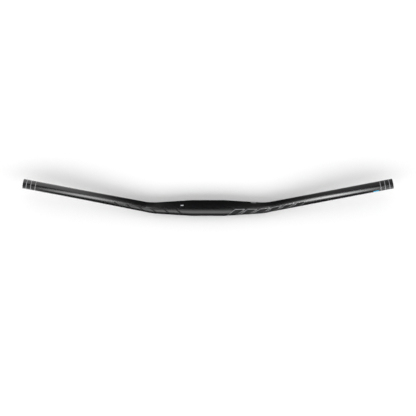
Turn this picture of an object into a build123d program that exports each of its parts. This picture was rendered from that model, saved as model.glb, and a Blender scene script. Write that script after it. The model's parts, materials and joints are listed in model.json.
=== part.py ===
"""Riser handlebar for a mountain bike: one bent, tapered and butted aluminium tube, open at both ends.

Frame: the origin is the centre of the zone that the stem clamps, +X runs along the clamp axis,
+Y points back towards the rider and +Z points up. The arms mirror each other about the YZ plane.
"""

import os
from math import atan, atan2, cos, degrees, hypot, radians, sin, tan

from build123d import *

# Driving dimensions, in millimetres and degrees
bar_width = 820.0  # from tip to tip
clamp_diameter = 35.0
clamp_length = 72.0  # between the corners where the two tapers begin
grip_diameter = 22.2
backsweep = 9.0  # of an arm, seen from above
upsweep = 6.0  # of an arm, seen from the front
bend_corner = 124.0  # from the centre to where the clamp axis and an arm's axis would cross
bend_radius = 150.0  # of the centreline
shoulder_radius = 150.0  # rounds the corner between the clamp zone and a taper
clamp_wall = 2.4
grip_wall = 1.9
edge_break = 0.5  # chamfer on the rims of an open end

# The bar is bent flat, in one plane, which is then turned up about the clamp axis
back_slope = tan(radians(backsweep))
up_slope = tan(radians(upsweep))
bend_angle = atan(hypot(back_slope, up_slope))
bend_plane_turn = atan2(up_slope, back_slope)

# Places along one arm, from the centre outwards
clamp_half = clamp_length / 2
bend_start = bend_corner - bend_radius * tan(bend_angle / 2)
bend_length = bend_radius * bend_angle
arm_start = bend_start + bend_radius * sin(bend_angle)
arm_end = bar_width / 2 - (grip_diameter / 2 - edge_break) * sin(bend_angle)
arm_length = (arm_end - arm_start) / cos(bend_angle)

# The share of the taper that is left where the bend starts; it dies out where the bend ends
taper_left = bend_length / (bend_start - clamp_half + bend_length)

# The tube's radius in the clamp zone and in the grips, on the outside and then in the bore
outside = (clamp_diameter / 2, grip_diameter / 2, Mode.ADD)
bore = (clamp_diameter / 2 - clamp_wall, grip_diameter / 2 - grip_wall, Mode.SUBTRACT)

with BuildPart() as flat_bar:
    for clamp_radius, grip_radius, mode in (outside, bore):
        bend_start_radius = grip_radius + (clamp_radius - grip_radius) * taper_left

        # Half of the clamp zone and the straight part of the taper
        with BuildSketch() as straight_profile:
            with BuildLine():
                Polyline(
                    (0, 0),
                    (0, clamp_radius),
                    (clamp_half, clamp_radius),
                    (bend_start, bend_start_radius),
                    (bend_start, 0),
                    close=True,
                )
            make_face()
            shoulder = straight_profile.vertices().sort_by_distance((clamp_half, clamp_radius))[0]
            fillet(shoulder, shoulder_radius)
        revolve(axis=Axis.X, mode=mode)

        # The bend, where the taper runs on and dies out
        with BuildLine() as bend:
            JernArc((bend_start, 0), (1, 0), bend_radius, degrees(bend_angle))
        with BuildSketch(Plane((bend_start, 0, 0), z_dir=(1, 0, 0))):
            Circle(bend_start_radius)
        with BuildSketch(Plane(bend.line @ 1, z_dir=bend.line % 1)):
            Circle(grip_radius)
        sweep(multisection=True, mode=mode)

        # The straight arm
        with BuildSketch(Plane(bend.line @ 1, z_dir=bend.line % 1)):
            Circle(grip_radius)
        extrude(amount=arm_length, mode=mode)

    open_end = flat_bar.faces().sort_by(Axis.X)[-1]
    chamfer(open_end.edges(), edge_break)
    mirror(about=Plane.YZ)

with BuildPart() as handlebar:
    add(flat_bar.part, rotation=(degrees(bend_plane_turn), 0, 0))
handlebar.part.label = "handlebar"

os.makedirs("parts", exist_ok=True)
export_step(handlebar.part, "parts/handlebar.step")
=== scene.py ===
"""Looks of the riser handlebar: a satin black anodised tube with plain printed marks, on a pale floor.

Lengths are in metres. The bar lies along X, its front faces -Y and +Z is up. Left and right are as the
camera sees them, so the record's left arm, which is the rider's, is the right one here.
"""

import json
from math import acos, atan, atan2, cos, pi, radians, sin, sqrt, tan

import bpy
import numpy as np
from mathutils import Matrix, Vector


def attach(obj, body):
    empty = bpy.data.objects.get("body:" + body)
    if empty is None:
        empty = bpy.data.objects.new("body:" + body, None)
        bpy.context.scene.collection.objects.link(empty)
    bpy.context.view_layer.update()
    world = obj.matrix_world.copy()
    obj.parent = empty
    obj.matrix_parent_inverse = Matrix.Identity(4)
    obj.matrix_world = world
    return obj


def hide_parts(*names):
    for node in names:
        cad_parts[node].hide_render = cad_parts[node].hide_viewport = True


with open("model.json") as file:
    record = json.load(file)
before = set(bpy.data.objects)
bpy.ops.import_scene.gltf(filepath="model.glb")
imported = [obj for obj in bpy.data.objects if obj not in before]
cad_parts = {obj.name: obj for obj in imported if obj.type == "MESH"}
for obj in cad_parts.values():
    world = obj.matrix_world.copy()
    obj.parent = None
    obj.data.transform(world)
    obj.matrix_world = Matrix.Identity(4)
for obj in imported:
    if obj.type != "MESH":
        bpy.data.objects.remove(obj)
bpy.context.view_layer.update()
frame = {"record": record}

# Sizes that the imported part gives
mounts = {mount["name"]: mount for mount in frame["record"]["mounts"]}
clamp_radius = mounts["stem_clamp"]["dims"]["r_mm"] / 1000
grip_radius = mounts["left_grip"]["dims"]["r_mm"] / 1000
bore_radius = mounts["left_end_bore"]["dims"]["r_mm"] / 1000
grip_length = mounts["left_grip"]["dims"]["length_mm"] / 1000
grip_middle = Vector(mounts["left_grip"]["pos_m"])
grip_axis = Vector(mounts["left_grip"]["axis"])

# Sizes of the tube that no mount gives
clamp_half = 0.036  # from the centre to the corner where a taper begins
clamp_wall = 0.0024
shoulder_radius = 0.150
bend_radius = 0.150
edge_break = 0.0005

# The bend, and places along the centreline from the centre outwards
bend_angle = acos(grip_axis.x)
bend_plane_turn = atan2(grip_axis.z, grip_axis.y)
bend_corner = grip_middle.x - grip_axis.x * grip_middle.y / grip_axis.y
bend_start = bend_corner - bend_radius * tan(bend_angle / 2)
arm_start = bend_start + bend_radius * bend_angle  # the taper dies out here
rim = arm_start + grip_length
tip = rim + edge_break

# The mesh: vertices round the tube, and where each span of its rings ends, with the number of rings in it
ring_vertices = 96
ring_spans = ((0.031, 4), (0.041, 8), (bend_start, 12), (arm_start, 20), (rim, 26))
smooth_below = radians(30)
cut_end_slot = 1  # of the tube's materials, after the outside's
bore_slot = 2

# The UV maps: the seam is in turns up from the front, the rest are shares of the baking map's side
seam = -0.25
bake_gap = 0.006
bake_outside = 0.238
bake_bore = 0.080

# Printed marks: places are from the centre outwards, angles in degrees up round the bar from its front
ink_softness = 0.0001
stripe_first = 0.060
stripe_count = 6
stripe_pitch = 0.0275
wide_stripe = 0.0205
thin_stripe = 0.0050
stripe_slant = 0.010  # how much further out a stripe's upper edge is than its middle
stripe_middle = 14
stripe_half_angle = 32
stripe_radius = 0.014  # of the taper, about halfway along
stripe_edge = 0.0008
ring_first = 0.0083  # from the tip
ring_pitch = 0.010
ring_count = 3
ring_width = 0.0011

# Dashes: place along the bar, angle, length, height, and the tube's radius there
pale_dash = (-0.057, 78, 0.006, 0.0024, clamp_radius)
faint_dash = (0.100, 122, 0.011, 0.0050, stripe_radius)
blue_dash = (tip - 0.0395, -9, 0.012, 0.0045, grip_radius)
front_line = (0, -17, 0.048, 0.0005, clamp_radius)
front_tick = (0, -12, 0.0010, 0.0030, clamp_radius)

# Colours: a finish has two blacks, which its cloudiness blends
satin_blacks = ((0.0030, 0.0030, 0.0034, 1), (0.0056, 0.0056, 0.0062, 1))
rim_blacks = ((0.0045, 0.0045, 0.0050, 1), (0.0080, 0.0080, 0.0086, 1))
bore_blacks = ((0.0040, 0.0040, 0.0044, 1), (0.0100, 0.0100, 0.0104, 1))
dull_black = (0.0030, 0.0030, 0.0032, 1)
grey_ink = (0.26, 0.26, 0.27, 1)
pale_ink = (0.42, 0.42, 0.43, 1)
blue_ink = (0.026, 0.38, 0.61, 1)
floor_white = (0.95, 0.95, 0.95, 1)
world_white = (1, 1, 1, 1)

# Finishes: a noise is its scale and detail, a roughness its least value and its variation, and a bump its
# strength and depth
grain_noise = (2200.0, 2.0)
cloud_noise = (45.0, 3.0)
cloud_share = 0.6
satin_roughness = (0.18, 0.05)
rim_roughness = (0.27, 0.06)
bore_roughness = (0.42, 0.12)
satin_bump = (0.15, 0.00002)
rim_bump = (0.3, 0.00002)
bore_bump = (0.35, 0.00004)
rougher_where_dull = 0.5
rougher_with_ink = 0.15
satin_ior = 1.33
coat_weight = 0.55
coat_roughness = 0.21
oxide_ior = 1.5

# The tent that only reflections show. A pair is where a glow is none and where it is full, in degrees of
# rise over the groundsheet from the front or at places along X or Y
tent_radius = 0.4
tent_half_length = 0.7
tent_vertices = 96
groundsheet = 0.0005 - clamp_radius
cloth_glow = 0.03
front_glow = 3.3
front_rise = (42, 0)
front_reach = (-0.03, -0.11)
front_half = 0.17
front_flare = 0.32  # metres wider for each metre towards the front
front_soft = 0.08
streak_glow = 19.4
streak_glow_to_right = 5.4
streak_middle = 0.2
streak_rise = 63  # degrees at streak_middle
streak_fall = 178  # degrees for each metre outwards
streak_half = 30
streak_inner = (0.185, 0.305)
streak_outer = (0.50, 0.33)
right_glow = 0.55
right_reach = (0.125, 0.225)
left_glow = 2.0
left_reach = (-0.15, -0.28)
overhead_rise = (75, 95)
overhead_outer = (0.60, 0.52)

# The floor, the strip of light in front, with its angles seen from the bar, and the even light all round
floor_size = 12.0
key_elevation = radians(31.5)
key_length = radians(130)
key_depth = radians(21)
key_distance = 100.0
key_power_at_1_m = 25.2  # watts, which grow with the distance squared for the same light
fill = 0.645

# The picture
picture_width = 0.919  # across the plane through the clamp's centre
camera_distance = 3.7
camera_elevation = radians(57)
camera_reach = 50.0
sensor_width = 36.0


class Wire:
    """A socket's value in a node tree. Operators on it add Math nodes.

    Of two values, & gives the smaller and | the larger.
    """

    def __init__(self, nodes, socket):
        self.nodes = nodes
        self.socket = socket

    def __add__(self, other):
        return self.nodes.math("ADD", self, other)

    def __radd__(self, other):
        return self.nodes.math("ADD", other, self)

    def __sub__(self, other):
        return self.nodes.math("SUBTRACT", self, other)

    def __rsub__(self, other):
        return self.nodes.math("SUBTRACT", other, self)

    def __mul__(self, other):
        return self.nodes.math("MULTIPLY", self, other)

    def __rmul__(self, other):
        return self.nodes.math("MULTIPLY", other, self)

    def __abs__(self):
        return self.nodes.math("ABSOLUTE", self)

    def __and__(self, other):
        return self.nodes.math("MINIMUM", self, other)

    def __or__(self, other):
        return self.nodes.math("MAXIMUM", self, other)

    def ramp(self, none, full):
        """0 at the value for none and 1 at the value for full, even between them and held beyond."""
        return self.nodes.math("DIVIDE", self - none, full - none, clamp=True)


def by_number_and_name(sockets):
    """A node's sockets, to look up by their number or by their name."""
    return {**dict(enumerate(sockets)), **{socket.identifier: socket for socket in sockets}}


class Nodes:
    """A node tree, emptied and ready for new nodes."""

    def __init__(self, tree):
        self.tree = tree
        tree.nodes.clear()

    def add(self, kind, settings=None, sockets=None):
        """Adds a node, sets its settings, then its sockets' values or links, and returns its outputs."""
        node = self.tree.nodes.new(kind)
        for name, value in (settings or {}).items():
            setattr(node, name, value)
        inputs = by_number_and_name(node.inputs)
        for name, value in (sockets or {}).items():
            if isinstance(value, Wire):
                self.tree.links.new(value.socket, inputs[name])
            else:
                inputs[name].default_value = value
        outputs = by_number_and_name(node.outputs)
        return {name: Wire(self, socket) for name, socket in outputs.items()}

    def math(self, operation, *values, clamp=False):
        """The result of a Math node."""
        settings = {"operation": operation, "use_clamp": clamp}
        return self.add("ShaderNodeMath", settings, dict(enumerate(values)))[0]

    def mix(self, share, colour, other_colour):
        """A colour that turns into the other one as the share goes from 0 to 1."""
        sockets = {"Factor_Float": share, "A_Color": colour, "B_Color": other_colour}
        return self.add("ShaderNodeMix", {"data_type": "RGBA"}, sockets)["Result_Color"]

    def split(self, vector):
        """The X, Y and Z of a vector."""
        parts = self.add("ShaderNodeSeparateXYZ", None, {"Vector": vector})
        return parts["X"], parts["Y"], parts["Z"]


def new_material(name):
    """A new material, and its node tree to fill."""
    material = bpy.data.materials.new(name)
    material.use_nodes = True
    return material, Nodes(material.node_tree)


def tube_radius(along, middle_radius, end_radius):
    """The tube's radius at a distance along its centreline: clamp zone, rounded shoulder, taper, arm."""
    slope = (middle_radius - end_radius) / (arm_start - clamp_half)
    taper_angle = atan(slope)
    round_start = clamp_half - shoulder_radius * tan(taper_angle / 2)
    round_end = round_start + shoulder_radius * sin(taper_angle)
    if along <= round_start:
        return middle_radius
    if along < round_end:
        return middle_radius - shoulder_radius + sqrt(shoulder_radius**2 - (along - round_start) ** 2)
    return max(end_radius, middle_radius - slope * (along - clamp_half))


def centreline(along):
    """Place and heading of the flat bar's centreline, before the bend's plane is turned up."""
    turned = min(max(along - bend_start, 0) / bend_radius, bend_angle)
    straight = min(along, bend_start)
    beyond = max(along - arm_start, 0)
    x = straight + bend_radius * sin(turned) + beyond * cos(turned)
    y = bend_radius * (1 - cos(turned)) + beyond * sin(turned)
    return Vector((x, y, 0)), turned


def ring_places():
    """Distances along the centreline for the rings of the mesh, close together where the tube curves."""
    places = [0.0]
    for end, steps in ring_spans:
        start = places[-1]
        places += [start + (end - start) * (step + 1) / steps for step in range(steps)]
    return places


def model_tube():
    """Extrudes one half ring by ring, out along the outside and back along the bore, and mirrors it."""
    places = ring_places()
    outside = [(along, tube_radius(along, clamp_radius, grip_radius)) for along in places[1:]]
    bore = [(along, tube_radius(along, clamp_radius - clamp_wall, bore_radius)) for along in places]
    rings = [*outside, (tip, grip_radius - edge_break), (tip, bore_radius + edge_break), *reversed(bore)]

    bpy.ops.object.select_all(action="DESELECT")
    bpy.ops.mesh.primitive_circle_add(
        vertices=ring_vertices, radius=clamp_radius, calc_uvs=False, rotation=(0, pi / 2, 0)
    )
    tube = bpy.context.object
    tube.name = "bar_tube"
    bpy.ops.object.transform_apply(location=False, rotation=True, scale=False)
    bpy.ops.object.mode_set(mode="EDIT")
    bpy.ops.mesh.select_all(action="SELECT")
    place, heading = centreline(0)
    radius = clamp_radius
    for along, new_radius in rings:
        new_place, new_heading = centreline(along)
        bpy.ops.mesh.extrude_region_move(TRANSFORM_OT_translate={"value": new_place - place})
        if new_heading != heading:
            turn = heading - new_heading
            bpy.ops.transform.rotate(value=turn, orient_axis="Z", center_override=new_place)
        if new_radius != radius:
            bpy.ops.transform.resize(value=(new_radius / radius,) * 3, center_override=new_place)
        place, heading, radius = new_place, new_heading, new_radius
    bpy.ops.object.mode_set(mode="OBJECT")

    other_arm = tube.modifiers.new("other_arm", "MIRROR")
    other_arm.merge_threshold = edge_break / 10
    bpy.ops.object.modifier_apply(modifier="other_arm")
    tube.rotation_euler.x = bend_plane_turn
    bpy.ops.object.transform_apply(location=False, rotation=True, scale=False)
    bpy.ops.object.mode_set(mode="EDIT")
    bpy.ops.mesh.select_all(action="SELECT")
    bpy.ops.mesh.normals_make_consistent(inside=False)
    bpy.ops.object.mode_set(mode="OBJECT")
    bpy.ops.object.shade_smooth_by_angle(angle=smooth_below)
    return tube


def bar_coordinates(places):
    """For each place: its distance along the bar from the centre, and how far it lies forward of and above
    the centreline."""
    x, y, z = places.T

    # Seen flat in the bend's plane: out along the clamp axis, sideways in the plane, and off the plane
    out = abs(x)
    sideways = y * cos(bend_plane_turn) + z * sin(bend_plane_turn)
    off = z * cos(bend_plane_turn) - y * sin(bend_plane_turn)
    turned = np.clip(np.arctan2(out - bend_start, bend_radius - sideways), 0, bend_angle)
    arc_x = bend_start + bend_radius * np.sin(turned)
    arc_y = bend_radius * (1 - np.cos(turned))
    past_arc = (out - arc_x) * np.cos(turned) + (sideways - arc_y) * np.sin(turned)
    along = bend_start + bend_radius * turned + past_arc
    aside = (sideways - arc_y) * np.cos(turned) - (out - arc_x) * np.sin(turned)
    forward = off * sin(bend_plane_turn) - aside * cos(bend_plane_turn)
    upward = aside * sin(bend_plane_turn) + off * cos(bend_plane_turn)
    return along * np.sign(x), forward, upward


def read_vectors(items, name):
    """A vector of each vertex or face of a mesh, as the rows of an array."""
    values = np.empty(len(items) * 3)
    items.foreach_get(name, values)
    return values.reshape(-1, 3)


def read_indices(items, name):
    """A whole number of each face or corner of a mesh."""
    values = np.empty(len(items), int)
    items.foreach_get(name, values)
    return values


def new_uv_map(mesh, name, u, v):
    """A new UV map, with a U and a V for each corner of each face."""
    uv_map = mesh.uv_layers.new(name=name, do_init=False)
    uv_map.data.foreach_set("uv", np.column_stack((u.ravel(), v.ravel())).ravel())


def map_tube(tube):
    """Gives the tube two UV maps. In bar_wrap, U is the distance along the bar from its centre and V the
    turns round it from the front. OFBake is for baking: the middle of the tube and its two arms are rolled
    flat as strips that lie one above the other, first the outside's three and then the bore's three."""
    mesh = tube.data
    corners = read_indices(mesh.loops, "vertex_index").reshape(-1, 4)
    along, forward, upward = bar_coordinates(read_vectors(mesh.vertices, "co"))
    narrower = grip_radius - np.hypot(forward, upward)
    turns = np.arctan2(upward, forward) / (2 * pi)

    # The seam runs along the underside, and the faces on it reach a little past it
    along = along[corners]
    around = ((turns - seam) % 1.0 + seam)[corners]
    around = around + np.round(around[:, :1] - around)
    new_uv_map(mesh, "bar_wrap", along, around)

    # A cut end is rolled on past the rim. Strip 0 is the left arm, 1 the middle and 2 the right arm
    slot = read_indices(mesh.polygons, "material_index")[:, np.newaxis]
    along = np.where(slot == cut_end_slot, np.sign(along) * (rim + narrower[corners]), along)
    middle = along.mean(axis=1, keepdims=True)
    strip = np.where(abs(middle) < arm_start, 1, np.where(middle < 0, 0, 2))
    rolled_end = rim + grip_radius - bore_radius
    strip_start = np.choose(strip, (-rolled_end, -arm_start, arm_start))
    strip_length = max(rolled_end - arm_start, 2 * arm_start)
    u = bake_gap + (along - strip_start) * ((1 - 2 * bake_gap) / strip_length)
    past_seam = 1 / ring_vertices
    share = (around - seam + past_seam) / (1 + 2 * past_seam)
    outside_v = bake_gap + strip * (bake_outside + bake_gap) + share * bake_outside
    bore_v = bake_gap + 3 * (bake_outside + bake_gap) + strip * (bake_bore + bake_gap) + share * bake_bore
    new_uv_map(mesh, "OFBake", u, np.where(slot == bore_slot, bore_v, outside_v))


def give_finishes(tube, outside, cut_end, bore):
    """Gives the tube its outside finish, and others to its cut ends and bore, by where their faces look."""
    faces = tube.data.polygons
    middles = read_vectors(faces, "center")
    ahead = middles + read_vectors(faces, "normal") * edge_break
    along, forward, upward = bar_coordinates(middles)
    ahead_along, ahead_forward, ahead_upward = bar_coordinates(ahead)
    looks_out_of_end = abs(ahead_along) - abs(along) > edge_break / 2
    looks_inwards = np.hypot(ahead_forward, ahead_upward) < np.hypot(forward, upward)
    tube.data.materials.append(outside)
    for slot, material, chosen in (
        (cut_end_slot, cut_end, looks_out_of_end),
        (bore_slot, bore, looks_inwards & ~looks_out_of_end),
    ):
        tube.data.materials.append(material)
        bpy.ops.object.mode_set(mode="EDIT")
        bpy.ops.mesh.select_mode(type="FACE")
        bpy.ops.mesh.select_all(action="DESELECT")
        bpy.ops.object.mode_set(mode="OBJECT")
        faces.foreach_set("select", chosen)
        bpy.ops.object.mode_set(mode="EDIT")
        tube.active_material_index = slot
        bpy.ops.object.material_slot_assign()
        bpy.ops.object.mode_set(mode="OBJECT")


def printed(depth):
    """1 inside a mark's outline and 0 outside it, with an edge as soft as ink's."""
    return depth.ramp(-ink_softness / 2, ink_softness / 2)


def dash_depth(along, around, dash):
    """How deep inside a dash's outline a point is."""
    place, angle, length, height, radius = dash
    side_depth = height / 2 - abs(around - angle) * (radians(1) * radius)
    return (length / 2 - abs(along - place)) & side_depth


def stripe_depth(out, around, length):
    """How deep inside the outline of a slanted stripe on a taper a point is, on either arm."""
    slanted = out - (around - stripe_middle) * (stripe_slant / stripe_half_angle)
    past_first = slanted - stripe_first
    row_half = (stripe_count - 1) * stripe_pitch / 2
    end_depth = length / 2 - out.nodes.math("PINGPONG", past_first, stripe_pitch / 2)
    row_depth = row_half + length / 2 - abs(past_first - row_half)
    side_depth = (stripe_half_angle - abs(around - stripe_middle)) * (radians(1) * stripe_radius)
    return end_depth & row_depth & side_depth


def noise(nodes, place, scale, detail):
    """Noise between 0 and 1, mostly near the middle."""
    sockets = {"Vector": place, "Scale": scale, "Detail": detail}
    return nodes.add("ShaderNodeTexNoise", None, sockets)["Fac"]


def satin_grain(nodes):
    """Fine bead-blasted grain and slow cloudiness, from Object coordinates."""
    place = nodes.add("ShaderNodeTexCoord")["Object"]
    return noise(nodes, place, *grain_noise), noise(nodes, place, *cloud_noise)


def add_surface(nodes, height, bump, sockets):
    """Adds the surface of a finish, with the height's pattern as bumps."""
    strength, depth = bump
    bumps = nodes.add("ShaderNodeBump", None, {"Strength": strength, "Distance": depth, "Height": height})
    shader = nodes.add("ShaderNodeBsdfPrincipled", None, {**sockets, "Normal": bumps["Normal"]})
    nodes.add("ShaderNodeOutputMaterial", None, {"Surface": shader["BSDF"]})


def satin_black():
    """Bead-blasted black anodising on the outside of the tube, with plain printed marks."""
    material, nodes = new_material("satin_black_anodising")
    along, turns, _ = nodes.split(nodes.add("ShaderNodeUVMap", {"uv_map": "bar_wrap"})["UV"])
    around = turns * 360
    out = abs(along)
    right = printed(along)
    grain, cloud = satin_grain(nodes)
    uneven = cloud * cloud_share + grain * (1 - cloud_share)

    # Dull stripes along both tapers: wide and edged with grey on the right, thin and bare on the left
    wide_stripes = stripe_depth(out, around, wide_stripe)
    thin_stripes = stripe_depth(out, around, thin_stripe)
    dull = (printed(wide_stripes) * right) | (printed(thin_stripes) * (1 - right))
    edges = printed(stripe_edge / 2 - abs(wide_stripes)) * right

    # Trim rings near both tips
    from_tip = tip - out
    from_ring = nodes.math("PINGPONG", from_tip - ring_first, ring_pitch / 2)
    ring_zone = printed(ring_first + (ring_count - 0.5) * ring_pitch - from_tip)
    rings = printed(ring_width / 2 - from_ring) * ring_zone

    # The line on the front of the clamp zone with its middle tick, the dashes, and all ink by its colour
    front_mark = dash_depth(along, around, front_line) | dash_depth(along, around, front_tick)
    grey = edges | rings | printed(dash_depth(along, around, faint_dash)) | printed(front_mark)
    pale = printed(dash_depth(along, around, pale_dash))
    blue = printed(dash_depth(along, around, blue_dash))
    ink = grey | pale | blue

    colour = nodes.mix(dull, nodes.mix(uneven, *satin_blacks), dull_black)
    for mark, mark_colour in ((grey, grey_ink), (pale, pale_ink), (blue, blue_ink)):
        colour = nodes.mix(mark, colour, mark_colour)
    least, more = satin_roughness
    roughness = least + uneven * more + dull * rougher_where_dull + ink * rougher_with_ink
    sockets = {
        "Base Color": colour,
        "Roughness": roughness,
        "IOR": satin_ior,
        "Coat Weight": (1 - dull) * coat_weight,
        "Coat Roughness": coat_roughness,
        "Coat IOR": oxide_ior,
    }
    add_surface(nodes, grain, satin_bump, sockets)
    return material


def turned_rim():
    """Black anodising on the turned cut ends, a little paler and rougher than outside."""
    material, nodes = new_material("turned_rim_anodising")
    grain, cloud = satin_grain(nodes)
    least, more = rim_roughness
    colour = nodes.mix(cloud, *rim_blacks)
    sockets = {"Base Color": colour, "Roughness": least + grain * more, "IOR": oxide_ior}
    add_surface(nodes, grain, rim_bump, sockets)
    return material


def dull_bore():
    """The drawn and unpolished bore: the same black, duller and cloudier."""
    material, nodes = new_material("dull_bore_anodising")
    grain, cloud = satin_grain(nodes)
    least, more = bore_roughness
    colour = nodes.mix(cloud, *bore_blacks)
    sockets = {"Base Color": colour, "Roughness": least + cloud * more, "IOR": oxide_ior}
    add_surface(nodes, grain, bore_bump, sockets)
    return material


def seen_rays(nodes):
    """1 for the rays that show a surface to the camera, straight or by a reflection, and 0 for the rest."""
    rays = nodes.add("ShaderNodeLightPath")
    return rays["Is Camera Ray"] | rays["Is Glossy Ray"] | rays["Is Transmission Ray"]


def floor():
    """The pale floor under the clamp zone."""
    bpy.ops.mesh.primitive_plane_add(size=floor_size, location=(0, 0, -clamp_radius))
    ground = bpy.context.object
    ground.name = "floor"
    material, nodes = new_material("pale_floor")
    paint = nodes.add("ShaderNodeBsdfDiffuse", None, {"Color": floor_white})
    nodes.add("ShaderNodeOutputMaterial", None, {"Surface": paint["BSDF"]})
    ground.data.materials.append(material)


def studio_world():
    """White where it is seen, and dimmer for what it lights."""
    world = bpy.data.worlds.new("studio")
    world.use_nodes = True
    bpy.context.scene.world = world
    nodes = Nodes(world.node_tree)
    strength = fill + (1 - fill) * seen_rays(nodes)
    sky = nodes.add("ShaderNodeBackground", None, {"Color": world_white, "Strength": strength})
    nodes.add("ShaderNodeOutputWorld", None, {"Surface": sky["Background"]})


def tent_glow(nodes):
    """How bright the tent's cloth is: low in front of the clamp zone, in a falling streak in front of each
    arm, and overhead and behind at both ends of the bar."""
    x, y, z = nodes.split(nodes.add("ShaderNodeTexCoord")["Object"])
    out = abs(x)
    rise = nodes.math("ARCTAN2", z - groundsheet, 0 - y) * (180 / pi)

    flared = out + front_flare * y
    front_middle = flared.ramp(front_half + front_soft / 2, front_half - front_soft / 2)
    front = rise.ramp(*front_rise) * y.ramp(*front_reach) * front_middle * front_glow

    above_streak = rise - (streak_rise - (out - streak_middle) * streak_fall)
    streak = abs(above_streak).ramp(streak_half, 0) * out.ramp(*streak_inner) * out.ramp(*streak_outer)
    streaks = streak * (nodes.math("SIGN", x) * streak_glow_to_right + streak_glow)

    ends = x.ramp(*right_reach) * right_glow + x.ramp(*left_reach) * left_glow
    overhead = ends * rise.ramp(*overhead_rise) * out.ramp(*overhead_outer)
    return front + streaks + overhead + cloth_glow


def reflection_tent():
    """A half-round tent over the bar, with a groundsheet, that only reflections show. It is black where it
    doesn't glow."""
    bpy.ops.object.select_all(action="DESELECT")
    bpy.ops.mesh.primitive_cylinder_add(
        vertices=tent_vertices, radius=tent_radius, depth=2 * tent_half_length, rotation=(0, pi / 2, 0)
    )
    tent = bpy.context.object
    tent.name = "reflection_tent"
    bpy.ops.object.transform_apply(location=False, rotation=True, scale=False)
    bpy.ops.object.mode_set(mode="EDIT")
    bpy.ops.mesh.select_all(action="SELECT")
    bpy.ops.mesh.bisect(
        plane_co=(0, 0, groundsheet), plane_no=(0, 0, 1), clear_inner=True, use_fill=True
    )
    bpy.ops.object.mode_set(mode="OBJECT")

    material, nodes = new_material("tent_cloth")
    cloth = nodes.add("ShaderNodeEmission", None, {"Color": tent_glow(nodes)})
    nodes.add("ShaderNodeOutputMaterial", None, {"Surface": cloth["Emission"]})
    tent.data.materials.append(material)
    tent.visible_camera = False
    tent.visible_diffuse = False
    tent.visible_shadow = False


def key_light():
    """One long soft strip of light, low in front of the bar. The tent is what shows in reflections."""
    towards = Vector((0, -cos(key_elevation), sin(key_elevation)))
    bpy.ops.object.light_add(
        type="AREA", location=towards * key_distance, rotation=(pi / 2 - key_elevation, 0, 0)
    )
    lamp = bpy.context.object
    lamp.name = "key_light"
    lamp.data.shape = "RECTANGLE"
    lamp.data.size = 2 * key_distance * tan(key_length / 2)
    lamp.data.size_y = 2 * key_distance * tan(key_depth / 2)
    lamp.data.energy = key_power_at_1_m * key_distance**2
    lamp.visible_camera = False
    lamp.visible_glossy = False


def camera():
    """The camera in front of the bar and above it, looking at the clamp's centre."""
    away = Vector((0, -cos(camera_elevation), sin(camera_elevation)))
    bpy.ops.object.camera_add(
        location=away * camera_distance, rotation=(pi / 2 - camera_elevation, 0, 0)
    )
    eye = bpy.context.object
    eye.data.sensor_width = sensor_width
    eye.data.lens = sensor_width * camera_distance / picture_width
    eye.data.clip_end = camera_reach
    bpy.context.scene.camera = eye


tube = model_tube()
give_finishes(tube, satin_black(), turned_rim(), dull_bore())
map_tube(tube)
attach(tube, "root")
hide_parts("handlebar")

floor()
studio_world()
reflection_tent()
key_light()
camera()
bpy.context.scene.view_settings.view_transform = "Standard"
